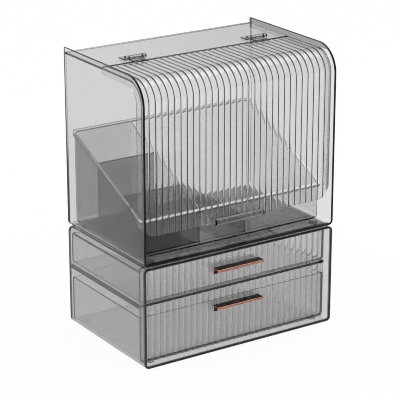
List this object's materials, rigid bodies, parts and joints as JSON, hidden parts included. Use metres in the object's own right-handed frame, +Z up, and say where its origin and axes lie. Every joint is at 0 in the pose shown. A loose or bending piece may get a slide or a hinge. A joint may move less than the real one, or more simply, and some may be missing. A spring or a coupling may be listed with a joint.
{
  "type": "makeup organizer",
  "caption": "Smoked clear makeup organizer: a fluted flip-up dust door over a divided insert tray, standing on a drawer case with fluted fronts and bar handles.",
  "frame": {"origin": "middle of the body's footprint, on the plane that the pads stand on", "axes": "+X to the right seen from the front, +Y to the back, +Z up"},
  "size_m": [0.285, 0.187, 0.3704],
  "materials": {
    "clear_smoke": "polished, smoked clear",
    "insert_smoke": "polished, dark smoked clear",
    "rose_gold": "polished rose gold",
    "screw_steel": "bright",
    "hinge_smoke": "polished, smoked clear",
    "clear_rubber": "clear, soft"
  },
  "bodies": {
    "case": {"drawer_case": "clear_smoke", "drawer_shelf": "clear_smoke", "case_pads": "clear_rubber", "cabinet_pads": "clear_rubber", "cabinet_shell": "clear_smoke", "rear_top_panel": "clear_smoke", "left_hinge_fixed_leaf": "hinge_smoke", "left_hinge_pin": "screw_steel", "right_hinge_fixed_leaf": "hinge_smoke", "right_hinge_pin": "screw_steel", "insert_tray": "insert_smoke", "long_divider": "insert_smoke", "rear_cross_divider": "insert_smoke", "front_cross_divider": "insert_smoke", "low_divider": "insert_smoke"},
    "lower_drawer": {"lower_drawer_tub": "clear_smoke", "lower_drawer_front": "clear_smoke", "lower_handle": "rose_gold", "lower_handle_screws": "screw_steel"},
    "upper_drawer": {"upper_drawer_tub": "clear_smoke", "upper_drawer_front": "clear_smoke", "upper_handle": "rose_gold", "upper_handle_screws": "screw_steel"},
    "door": {"dust_door": "clear_smoke", "door_pull": "clear_smoke", "left_hinge_door_leaf": "hinge_smoke", "right_hinge_door_leaf": "hinge_smoke"}
  },
  "joints": [
    {"name": "lower_drawer_slide", "type": "slide", "parent": "case", "child": "lower_drawer", "axis": [0, -1, 0], "range_m": [0, 0.13]},
    {"name": "upper_drawer_slide", "type": "slide", "parent": "case", "child": "upper_drawer", "axis": [0, -1, 0], "range_m": [0, 0.13]},
    {"name": "door_hinge", "type": "hinge", "parent": "case", "child": "door", "pos_m": [0, 0.0135, 0.3674], "axis": [-1, 0, 0], "range_deg": [0, 180]}
  ]
}
